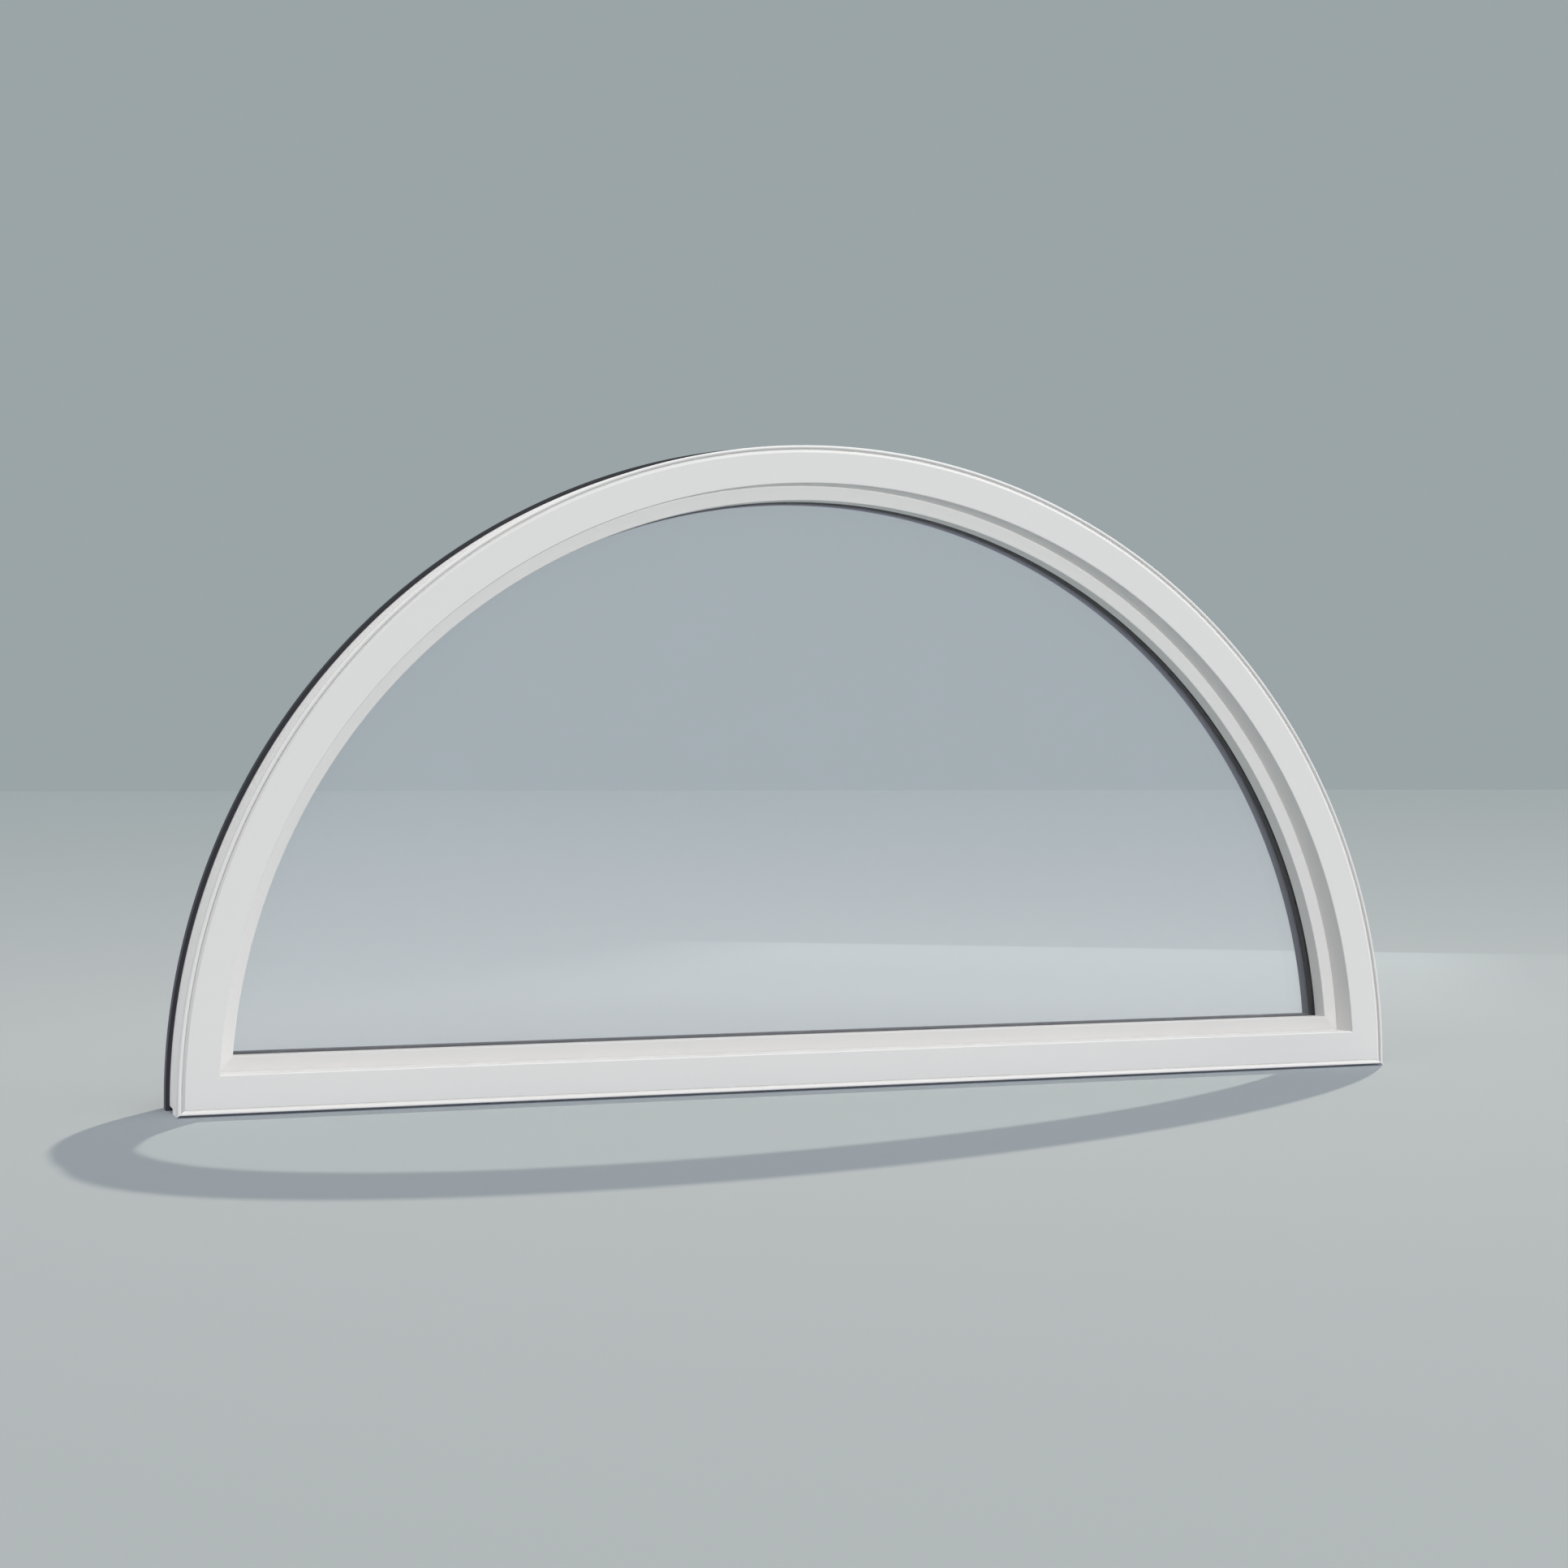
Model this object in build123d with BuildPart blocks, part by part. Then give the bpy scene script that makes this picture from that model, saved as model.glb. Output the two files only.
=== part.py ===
from build123d import *
import math
import os

# Half-round fixed window, seen from inside as -Y. Sizes in millimetres.
# X runs across the window, +Y points outdoors, +Z is up.
# The origin is under the middle of the sill, halfway through the frame's depth.

# Overall
WINDOW_WIDTH = 1828.8
FRAME_DEPTH = 116.0
ARCH_CENTRE_HEIGHT = 11.0
FACE_EDGE_DROP = 3.0

# Depth of each layer behind the jamb, counted towards the outdoors
STOP_DEPTH = 29.0
GASKET_THICKNESS = 2.0
PANE_THICKNESS = 3.0
AIR_GAP = 16.0
CLADDING_FLANGE_DEPTH = 16.0
CLADDING_LIP_DEPTH = 18.0

# Widths across the frame, counted inwards from the outer edge of the indoor face
JAMB_FACE_WIDTH = 46.5
JAMB_REVEAL_DRAFT = 2.0
STOP_FACE_WIDTH = 21.5
STOP_REVEAL_DRAFT = 1.0
GLASS_BITE = 13.0
GASKET_WIDTH = 11.0
GASKET_SETBACK = 0.6
EDGE_SEAL_WIDTH = 5.0
SPACER_WIDTH = 7.0
CLADDING_OVERHANG = 16.1

# Outer edge of the jamb: bevel, shadow groove, chamfered rim, then two stepped bands
FACE_EDGE_INSET = 2.6
ARCH_BEVEL_WIDTH = 3.8
SILL_BEVEL_WIDTH = 0.6
BEVEL_SLOPE = 0.63
GROOVE_WIDTH = 1.2
GROOVE_FLOOR = 7.0
RIM_WIDTH = 5.4
RIM_SETBACK = 0.4
RIM_CHAMFER = 1.6
RIM_DEPTH = 8.0
BAND_DRAFT = 0.4
FIRST_BAND_END = 20.0
FIRST_STEP = 0.9
SECOND_STEP = 2.0

# Accessory kerfs in the outer side of the frame
KERF_WIDTH = 2.4
KERF_DEPTH = 1.4
KERF_START = 11.0
KERF_SPACING = 12.0

# Undersides: the jamb and the cladding stand on the base, and the frame clears it,
# this far below the bottom edge of the indoor face
FRAME_SILL_OUT = 1.0

# Outdoor face of the cladding
CLADDING_BEVEL = 3.0
BEAD_LINE_WIDTH = 3.0
BEAD_LINE_DEPTH = 2.0
BEAD_LINE_INSET = 30.0
ARRIS = 1.0

# Glass support
SETTING_BLOCK_LENGTH = 100.0
EDGE_BLOCK_LENGTH = 60.0
EDGE_BLOCK_ANGLE = 50.0

# Weep slots and their covers
WEEP_LENGTH = 30.0
WEEP_HEIGHT = 5.0
WEEP_OFFSET = 560.0
WEEP_COVER_MARGIN = 5.0
WEEP_COVER_THICKNESS = 1.5
WEEP_MOUTH_HEIGHT = 3.0

FIT = 0.3

# Worked out from the sizes above
FACE_RADIUS = WINDOW_WIDTH / 2 - CLADDING_OVERHANG
FACE_BOTTOM = ARCH_CENTRE_HEIGHT - FACE_EDGE_DROP
REBATE = JAMB_FACE_WIDTH - JAMB_REVEAL_DRAFT
SIGHT = REBATE + STOP_FACE_WIDTH
GLASS_EDGE = SIGHT - GLASS_BITE
CLADDING_START = FRAME_DEPTH - CLADDING_FLANGE_DEPTH
OUTER_GASKET_START = CLADDING_START - GASKET_THICKNESS
OUTER_PANE_START = OUTER_GASKET_START - PANE_THICKNESS
SPACER_START = OUTER_PANE_START - AIR_GAP
INNER_PANE_START = SPACER_START - PANE_THICKNESS
STOP_BACK = INNER_PANE_START - GASKET_THICKNESS
JAMB_DEPTH = STOP_BACK - STOP_DEPTH
LIP_START = CLADDING_START - CLADDING_LIP_DEPTH
ARCH_RIM_OUT = ARCH_BEVEL_WIDTH + GROOVE_WIDTH + RIM_WIDTH - FACE_EDGE_INSET
SILL_RIM_OUT = SILL_BEVEL_WIDTH + GROOVE_WIDTH + RIM_WIDTH - FACE_EDGE_INSET
FIRST_BAND_OUT = ARCH_RIM_OUT + BAND_DRAFT
SECOND_BAND_OUT = FIRST_BAND_OUT + FIRST_STEP
JAMB_OUT = SECOND_BAND_OUT + BAND_DRAFT
THIRD_BAND_OUT = JAMB_OUT + SECOND_STEP
FRAME_OUT = THIRD_BAND_OUT + BAND_DRAFT
FOOT_OUT = FACE_BOTTOM
MITRE_RUN = FACE_RADIUS - ((FACE_RADIUS - SIGHT) ** 2 - (SIGHT - FACE_EDGE_DROP) ** 2) ** 0.5
SETTING_BLOCK_OFFSET = (FACE_RADIUS - GLASS_EDGE) / 2
ARCH_AXIS = Axis((0, 0, ARCH_CENTRE_HEIGHT), (0, -1, 0))

os.makedirs("parts", exist_ok=True)


def depth(from_face):
    """Place along Y of a distance behind the indoor face."""
    return from_face - FRAME_DEPTH / 2


def on_arch(inward, from_face):
    """Section point on the right springing: inwards from the face edge, and behind the face."""
    return (FACE_RADIUS - inward, depth(from_face))


def on_sill(inward, from_face):
    """The same point on the sill, where inwards is upwards."""
    return (depth(from_face), FACE_BOTTOM + inward)


def mitre_point(run):
    """Point of the right corner's mitre line, a distance in from the outer edge of the face."""
    return (FACE_RADIUS - run, FACE_BOTTOM + run * SIGHT / MITRE_RUN)


def mitre_outline(outer):
    """Area that belongs to the sill: a trapezium between the two mitres, cut plumb at the ends."""
    top_x, top_z = mitre_point(MITRE_RUN + GLASS_BITE)
    end_x, end_z = mitre_point(-outer)
    low_z = end_z - outer
    right = [(top_x, top_z), (end_x, end_z), (end_x, low_z)]
    left = [(-x, z) for x, z in reversed(right)]
    return right + left


def bend_arch(section, outer, leg=ARCH_CENTRE_HEIGHT):
    """Bend a section over the half circle on straight legs and mitre both feet onto the sill."""
    with BuildPart() as member:
        with BuildSketch(Plane.XY.offset(ARCH_CENTRE_HEIGHT)) as cut:
            with BuildLine():
                Polyline(*[on_arch(*point) for point in section], close=True)
            make_face()
        revolve(axis=ARCH_AXIS, revolution_arc=90)
        extrude(cut.sketch, amount=-leg)
        with BuildSketch(Plane.XZ):
            with BuildLine():
                Polyline(*mitre_outline(outer), close=True)
            make_face()
        extrude(amount=FRAME_DEPTH, both=True, mode=Mode.SUBTRACT)
        mirror(about=Plane.YZ)
    return member.part


def run_sill(section, outer):
    """Run a section along the sill and mitre both ends."""
    with BuildPart() as member:
        with BuildSketch(Plane.YZ):
            with BuildLine():
                Polyline(*[on_sill(*point) for point in section], close=True)
            make_face()
        extrude(amount=WINDOW_WIDTH, both=True)
        with BuildSketch(Plane.XZ):
            with BuildLine():
                Polyline(*mitre_outline(outer), close=True)
            make_face()
        extrude(amount=FRAME_DEPTH, both=True, mode=Mode.INTERSECT)
    return member.part


def save(piece, name):
    """Label a finished piece and write its file."""
    piece.label = name
    export_step(piece, f"parts/{name}.step")


def jamb_front(bevel_width):
    """Indoor face of the jamb with its bevel, shadow groove and rim."""
    bevel_end = FACE_EDGE_INSET - bevel_width
    rim_start = bevel_end - GROOVE_WIDTH
    rim_end = rim_start - RIM_WIDTH
    rim_corner = RIM_SETBACK + RIM_CHAMFER
    return [
        (JAMB_FACE_WIDTH, ARRIS),
        (JAMB_FACE_WIDTH - ARRIS, 0),
        (FACE_EDGE_INSET, 0),
        (bevel_end, bevel_width * BEVEL_SLOPE),
        (bevel_end, GROOVE_FLOOR),
        (rim_start, GROOVE_FLOOR),
        (rim_start, rim_corner),
        (rim_start - RIM_CHAMFER, RIM_SETBACK),
        (rim_end + RIM_CHAMFER, RIM_SETBACK),
        (rim_end, rim_corner),
    ]


def build_jamb():
    """Front ring of the frame: the broad white face and the deep reveal behind it.
    The bevel beside the groove is wide on the arch and narrow on the sill."""
    arch_side = [
        (-FIRST_BAND_OUT, FIRST_BAND_END),
        (-SECOND_BAND_OUT, FIRST_BAND_END + FIRST_STEP),
        (-JAMB_OUT, JAMB_DEPTH),
    ]
    sill_side = [
        (-SILL_RIM_OUT, RIM_DEPTH),
        (-FOOT_OUT, RIM_DEPTH),
        (-FOOT_OUT, JAMB_DEPTH),
    ]
    back = [(REBATE, JAMB_DEPTH)]
    arch_front = jamb_front(ARCH_BEVEL_WIDTH)
    sill_front = jamb_front(SILL_BEVEL_WIDTH)
    save(bend_arch(arch_front + arch_side + back, JAMB_OUT), "jamb_arch")
    save(run_sill(sill_front + sill_side + back, JAMB_OUT), "jamb_sill")


def kerf(start):
    """Corners of one accessory kerf in the outer side of the frame."""
    return [
        (-THIRD_BAND_OUT, start),
        (-THIRD_BAND_OUT + KERF_DEPTH, start),
        (-THIRD_BAND_OUT + KERF_DEPTH, start + KERF_WIDTH),
        (-THIRD_BAND_OUT, start + KERF_WIDTH),
    ]


def build_frame():
    """Main frame behind the jamb, with the rebate that takes the glass."""
    first_kerf = JAMB_DEPTH + KERF_START
    arch_side = [(-JAMB_OUT, JAMB_DEPTH), (-THIRD_BAND_OUT, JAMB_DEPTH + SECOND_STEP)]
    arch_side += kerf(first_kerf) + kerf(first_kerf + KERF_SPACING)
    arch_side += [(-FRAME_OUT, LIP_START), (-FRAME_OUT, CLADDING_START)]
    sill_side = [(-FRAME_SILL_OUT, JAMB_DEPTH), (-FRAME_SILL_OUT, CLADDING_START)]
    inner = [(REBATE, CLADDING_START), (REBATE, JAMB_DEPTH)]
    save(bend_arch(inner + arch_side, FRAME_OUT, FACE_EDGE_DROP + FRAME_SILL_OUT), "frame_arch")
    save(run_sill(inner + sill_side, FRAME_OUT), "frame_sill")


def build_stop():
    """Indoor glazing stop: the second step, down to the glass."""
    section = [
        (REBATE + FIT, JAMB_DEPTH),
        (SIGHT - ARRIS, JAMB_DEPTH),
        (SIGHT, JAMB_DEPTH + ARRIS),
        (SIGHT - STOP_REVEAL_DRAFT, STOP_BACK),
        (REBATE + FIT, STOP_BACK),
    ]
    save(bend_arch(section, FRAME_OUT), "stop_arch")
    save(run_sill(section, FRAME_OUT), "stop_sill")


def gasket_section(start, sight):
    """Flat gasket between the glass and what holds it."""
    edge = sight - GASKET_SETBACK
    return [
        (edge - GASKET_WIDTH, start),
        (edge, start),
        (edge, start + GASKET_THICKNESS),
        (edge - GASKET_WIDTH, start + GASKET_THICKNESS),
    ]


def build_gaskets():
    """Black gaskets on both faces of the glass unit."""
    indoor = gasket_section(STOP_BACK, SIGHT - STOP_REVEAL_DRAFT)
    outdoor = gasket_section(OUTER_GASKET_START, SIGHT)
    save(bend_arch(indoor, FRAME_OUT), "indoor_gasket_arch")
    save(run_sill(indoor, FRAME_OUT), "indoor_gasket_sill")
    save(bend_arch(outdoor, FRAME_OUT), "outdoor_gasket_arch")
    save(run_sill(outdoor, FRAME_OUT), "outdoor_gasket_sill")


def build_pane(start, name):
    """One sheet of glass: a half disc with its straight edge on the sill side."""
    with BuildPart() as pane:
        with BuildSketch(Plane.XZ.offset(-depth(start))):
            with Locations((0, ARCH_CENTRE_HEIGHT)):
                Circle(FACE_RADIUS - GLASS_EDGE)
            with Locations((0, FACE_BOTTOM + GLASS_EDGE)):
                Rectangle(
                    WINDOW_WIDTH,
                    WINDOW_WIDTH,
                    align=(Align.CENTER, Align.MIN),
                    mode=Mode.INTERSECT,
                )
        extrude(amount=-PANE_THICKNESS)
    save(pane.part, name)


def build_spacer():
    """Spacer bar and edge seal that join the two panes."""
    seal_edge = GLASS_EDGE + EDGE_SEAL_WIDTH
    spacer_edge = seal_edge + SPACER_WIDTH
    seal = [
        (GLASS_EDGE, SPACER_START),
        (seal_edge, SPACER_START),
        (seal_edge, OUTER_PANE_START),
        (GLASS_EDGE, OUTER_PANE_START),
    ]
    bar = [
        (seal_edge, SPACER_START),
        (spacer_edge, SPACER_START),
        (spacer_edge, OUTER_PANE_START),
        (seal_edge, OUTER_PANE_START),
    ]
    save(bend_arch(seal, FRAME_OUT), "edge_seal_arch")
    save(run_sill(seal, FRAME_OUT), "edge_seal_sill")
    save(bend_arch(bar, FRAME_OUT), "spacer_arch")
    save(run_sill(bar, FRAME_OUT), "spacer_sill")


def cladding_section(inside, outside):
    """Outdoor cladding: a lip over the frame's edge and a flange in front of the glass."""
    line_end = BEAD_LINE_INSET + BEAD_LINE_WIDTH
    line_floor = FRAME_DEPTH - BEAD_LINE_DEPTH
    return [
        (-inside - FIT, CLADDING_START),
        (-inside - FIT, LIP_START),
        (-outside + ARRIS, LIP_START),
        (-outside, LIP_START + ARRIS),
        (-outside, FRAME_DEPTH - CLADDING_BEVEL),
        (-outside + CLADDING_BEVEL, FRAME_DEPTH),
        (BEAD_LINE_INSET, FRAME_DEPTH),
        (BEAD_LINE_INSET, line_floor),
        (line_end, line_floor),
        (line_end, FRAME_DEPTH),
        (SIGHT - CLADDING_BEVEL, FRAME_DEPTH),
        (SIGHT, FRAME_DEPTH - CLADDING_BEVEL),
        (SIGHT, CLADDING_START),
    ]


def weep_height():
    """Middle of the gap under the glass, which the weep slots drain."""
    return FACE_BOTTOM + (REBATE + GLASS_EDGE) / 2


def build_cladding():
    """Dark outdoor cladding: its mitres end plumb with the jamb's, and its sill has two weep
    slots in shallow seats for their covers."""
    arch_section = cladding_section(FRAME_OUT, CLADDING_OVERHANG)
    save(bend_arch(arch_section, JAMB_OUT), "cladding_arch")
    outdoor_face = Plane.XZ.offset(-depth(FRAME_DEPTH))
    with BuildPart() as sill:
        add(run_sill(cladding_section(FRAME_SILL_OUT, FOOT_OUT), JAMB_OUT))
        with BuildSketch(outdoor_face):
            with Locations((-WEEP_OFFSET, weep_height()), (WEEP_OFFSET, weep_height())):
                SlotOverall(WEEP_LENGTH, WEEP_HEIGHT)
        extrude(amount=FRAME_DEPTH - CLADDING_START, mode=Mode.SUBTRACT)
        with BuildSketch(outdoor_face):
            with Locations((-WEEP_OFFSET, weep_height()), (WEEP_OFFSET, weep_height())):
                Rectangle(
                    WEEP_LENGTH + 2 * WEEP_COVER_MARGIN,
                    WEEP_HEIGHT + 2 * WEEP_COVER_MARGIN,
                )
        extrude(amount=WEEP_COVER_THICKNESS, mode=Mode.SUBTRACT)
    save(sill.part, "cladding_sill")


def build_weep_cover(across, name):
    """Cover over a weep slot, flush with the cladding, with its mouth at the bottom."""
    width = WEEP_LENGTH + 2 * WEEP_COVER_MARGIN - 2 * FIT
    height = WEEP_HEIGHT + 2 * WEEP_COVER_MARGIN - 2 * FIT
    mouth_drop = (WEEP_HEIGHT - WEEP_MOUTH_HEIGHT) / 2
    with BuildPart() as cover:
        with BuildSketch(Plane.XZ.offset(-depth(FRAME_DEPTH))):
            with Locations((across, weep_height())):
                Rectangle(width, height)
            with Locations((across, weep_height() - mouth_drop)):
                SlotOverall(WEEP_LENGTH - WEEP_COVER_MARGIN, WEEP_MOUTH_HEIGHT, mode=Mode.SUBTRACT)
        extrude(amount=WEEP_COVER_THICKNESS)
    save(cover.part, name)


def build_setting_block(across, name):
    """Block on the sill's rebate that the glass unit stands on."""
    with BuildPart() as block:
        with BuildSketch(Plane.XY.offset(FACE_BOTTOM + REBATE)):
            with Locations((across, depth((INNER_PANE_START + OUTER_GASKET_START) / 2))):
                Rectangle(SETTING_BLOCK_LENGTH, OUTER_GASKET_START - INNER_PANE_START)
        extrude(amount=GLASS_EDGE - REBATE)
    save(block.part, name)


def build_edge_block(angle, name):
    """Block that keeps the round edge of the glass off the frame, at an angle from the crown."""
    span = math.degrees(EDGE_BLOCK_LENGTH / (FACE_RADIUS - GLASS_EDGE))
    start = math.radians(90 - angle - span / 2)
    across = (math.cos(start), 0, math.sin(start))
    along = (-math.sin(start), 0, math.cos(start))
    with BuildPart() as block:
        with BuildSketch(Plane((0, 0, ARCH_CENTRE_HEIGHT), x_dir=across, z_dir=along)):
            with BuildLine():
                Polyline(
                    (FACE_RADIUS - GLASS_EDGE, depth(INNER_PANE_START)),
                    (FACE_RADIUS - REBATE - FIT, depth(INNER_PANE_START)),
                    (FACE_RADIUS - REBATE - FIT, depth(OUTER_GASKET_START)),
                    (FACE_RADIUS - GLASS_EDGE, depth(OUTER_GASKET_START)),
                    close=True,
                )
            make_face()
        revolve(axis=ARCH_AXIS, revolution_arc=span)
    save(block.part, name)


build_jamb()
build_frame()
build_stop()
build_gaskets()
build_pane(INNER_PANE_START, "inner_pane")
build_pane(OUTER_PANE_START, "outer_pane")
build_spacer()
build_cladding()
for side, name in ((-1, "left"), (1, "right")):
    build_weep_cover(side * WEEP_OFFSET, f"weep_cover_{name}")
    build_setting_block(side * SETTING_BLOCK_OFFSET, f"setting_block_{name}")
    build_edge_block(side * EDGE_BLOCK_ANGLE, f"edge_block_{name}")
build_edge_block(0, "edge_block_crown")
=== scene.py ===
import math

import bmesh
import bpy
from bpy.props import FloatProperty, FloatVectorProperty, IntProperty, PointerProperty
from mathutils import Matrix, Vector


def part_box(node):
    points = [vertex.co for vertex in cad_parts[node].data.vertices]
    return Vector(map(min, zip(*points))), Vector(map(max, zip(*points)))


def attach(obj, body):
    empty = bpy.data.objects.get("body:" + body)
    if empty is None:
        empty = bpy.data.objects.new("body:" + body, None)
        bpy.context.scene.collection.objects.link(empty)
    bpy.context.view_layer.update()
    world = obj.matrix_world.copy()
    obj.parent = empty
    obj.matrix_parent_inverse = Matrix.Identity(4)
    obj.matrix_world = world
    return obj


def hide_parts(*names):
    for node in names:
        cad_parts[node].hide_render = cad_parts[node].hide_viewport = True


bl_info = {
    "name": "Half-round window",
    "version": (1, 0, 0),
    "blender": (4, 5, 0),
    "location": "3D View > Sidebar > Half-round",
    "description": "Dresses the packed half-round window: bent frame, sealed glass, gaskets and cladding",
    "category": "Add Mesh",
}

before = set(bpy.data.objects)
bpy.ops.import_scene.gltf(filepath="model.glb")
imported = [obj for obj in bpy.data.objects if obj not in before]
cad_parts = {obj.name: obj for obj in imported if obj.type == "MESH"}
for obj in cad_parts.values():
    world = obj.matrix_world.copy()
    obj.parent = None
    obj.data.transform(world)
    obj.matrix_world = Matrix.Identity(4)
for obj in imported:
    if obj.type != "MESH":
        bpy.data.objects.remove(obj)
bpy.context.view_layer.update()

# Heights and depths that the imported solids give, in metres
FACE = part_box("jamb_arch")[0].y
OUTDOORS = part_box("cladding_arch")[1].y
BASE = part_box("cladding_arch")[0].z
LEG_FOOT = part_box("frame_arch")[0].z
HALF_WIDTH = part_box("cladding_arch")[1].x
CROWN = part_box("cladding_arch")[1].z
CENTRE = CROWN - HALF_WIDTH
JAMB_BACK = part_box("jamb_arch")[1].y - FACE
STOP_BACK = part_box("stop_arch")[1].y - FACE
INNER_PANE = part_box("inner_pane")[0].y - FACE
OUTER_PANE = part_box("outer_pane")[0].y - FACE
CLADDING_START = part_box("outdoor_gasket_arch")[1].y - FACE
DEPTH = OUTDOORS - FACE
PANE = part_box("inner_pane")[1].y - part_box("inner_pane")[0].y
MM = 0.001


def linear(code):
    """An sRGB hex colour as linear red, green, blue and 1."""
    parts = [int(code[i:i + 2], 16) / 255 for i in (0, 2, 4)]
    return [c / 12.92 if c <= 0.04045 else ((c + 0.055) / 1.055) ** 2.4 for c in parts] + [1.0]


def length(name, text, default):
    """A length that the user may change, in metres."""
    return FloatProperty(name=name, description=text, default=default, min=0.0, precision=4, unit="LENGTH", subtype="DISTANCE")


def tint(name, text, code):
    """A colour that the user may change, written as sRGB hex."""
    return FloatVectorProperty(name=name, description=text, default=linear(code), size=4, min=0.0, max=1.0, subtype="COLOR")


class HALFROUND_PG_sizes(bpy.types.PropertyGroup):
    """Lengths of the sections, counted inwards from the edge of the indoor face."""

    face_radius: length("Face radius", "Outer edge of the indoor face", HALF_WIDTH - 16.1 * MM)
    face_drop: length("Face drop", "How far the face's bottom edge lies below the arch centre", 3.0 * MM)
    face_width: length("Face width", "Breadth of the indoor face", 46.5 * MM)
    sight: length("Sight line", "From the face edge to the visible glass", 66.0 * MM)
    rebate: length("Rebate", "From the face edge to the pocket that takes the glass", 44.5 * MM)
    glass_edge: length("Glass edge", "From the face edge to the edge of the glass", 53.0 * MM)
    jamb_out: length("Jamb side", "From the face edge out to the jamb's outer side", 9.5 * MM)
    frame_out: length("Frame side", "From the face edge out to the frame's outer side", 10.6 * MM)
    soft_edge: length("Soft edge", "Radius of the extruded corners beside the room", 1.5 * MM)
    rim_round: length("Rim rounding", "Radius of the raised rim around the face", 2.4 * MM)
    arch_steps: IntProperty(name="Arch steps", description="Straight pieces that draw the half circle", default=216, min=24)


class HALFROUND_PG_colours(bpy.types.PropertyGroup):
    """Colours of the finishes."""

    white: tint("White frame", "Through-coloured composite", "dbdad8")
    cladding: tint("Cladding", "Powder coat on the weather side", "262729")
    rubber: tint("Gasket", "Black rubber", "232325")
    spacer: tint("Spacer", "Bar between the panes", "1f1f22")
    sealant: tint("Edge sealant", "Black sealant behind the spacer", "1c1c1e")
    block: tint("Blocks", "Dark grey rubber blocks", "38383b")
    cover: tint("Weep covers", "Black moulded covers", "2a2b2d")
    glass: tint("Glass", "Faint cool tint of the panes", "feffff")
    floor: tint("Floor near", "Pale floor beside the window", "c4cdd3")
    floor_far: tint("Floor far", "Floor where it meets the backdrop", "a4b2b8")
    backdrop: tint("Backdrop", "Plain studio wall", "9ba5a7")


def add(tree, kind, inputs=None, **settings):
    """One shader node with its settings; inputs gives each socket a value or the socket that feeds it."""
    node = tree.nodes.new(kind)
    for name, value in settings.items():
        setattr(node, name, value)
    for socket, value in (inputs or {}).items():
        if isinstance(value, bpy.types.NodeSocket):
            tree.links.new(value, node.inputs[socket])
        else:
            node.inputs[socket].default_value = value
    return node


def per_metre(millimetres):
    """Scale of a noise or voronoi whose features are this many millimetres across."""
    return 1000.0 / millimetres


def start_material(name):
    """An empty node material and its tree."""
    material = bpy.data.materials.new(name)
    material.use_nodes = True
    material.node_tree.nodes.clear()
    return material, material.node_tree


def finish_material(tree, shader):
    add(tree, "ShaderNodeOutputMaterial", {"Surface": shader})


def mottled(tree, vector, base, size_mm, low, high, detail=3.0):
    """Base colour made a little darker and lighter by soft noise."""
    noise = add(tree, "ShaderNodeTexNoise", {"Vector": vector, "Scale": per_metre(size_mm), "Detail": detail})
    dark = [c * low for c in base[:3]] + [1.0]
    light = [min(c * high, 1.0) for c in base[:3]] + [1.0]
    return add(tree, "ShaderNodeMix", {0: noise.outputs["Fac"], 6: dark, 7: light}, data_type="RGBA").outputs[2]


def spread(tree, value, low, high):
    """A 0 to 1 pattern moved to another range."""
    return add(tree, "ShaderNodeMapRange", {"Value": value, "To Min": low, "To Max": high}).outputs["Result"]


def composite_white(colours):
    """Extruded wood-and-polymer composite, coloured right through and satin from the die.
    It gives the eye an even white with soft highlights, faint lines along its length and no grain."""
    material, tree = start_material("extruded_white_composite")
    place = add(tree, "ShaderNodeTexCoord")
    colour = mottled(tree, place.outputs["Object"], colours.white, 260, 0.982, 1.012)
    # Die lines are about 0.3 mm apart; drawn 1.6 mm apart so that a close view shows them
    along = add(tree, "ShaderNodeMapping", {"Vector": place.outputs["UV"], "Scale": (1.5, per_metre(1.6), 1.0)})
    lines = add(tree, "ShaderNodeTexNoise", {"Vector": along.outputs["Vector"], "Scale": 1.0, "Detail": 2.0})
    # Skin texture of about 0.2 mm, drawn at 1.2 mm
    skin = add(tree, "ShaderNodeTexNoise", {"Vector": place.outputs["Object"], "Scale": per_metre(1.2), "Detail": 2.0})
    patches = add(tree, "ShaderNodeTexNoise", {"Vector": place.outputs["Object"], "Scale": per_metre(45), "Detail": 3.0})
    line_bump = add(tree, "ShaderNodeBump", {"Strength": 0.12, "Distance": 0.00004, "Height": lines.outputs["Fac"]})
    bump = add(tree, "ShaderNodeBump", {"Strength": 0.10, "Distance": 0.00003, "Height": skin.outputs["Fac"], "Normal": line_bump.outputs["Normal"]})
    shader = add(tree, "ShaderNodeBsdfPrincipled", {
        "Base Color": colour, "Roughness": spread(tree, patches.outputs["Fac"], 0.48, 0.58),
        "IOR": 1.5, "Normal": bump.outputs["Normal"]})
    finish_material(tree, shader.outputs["BSDF"])
    return material


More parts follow.
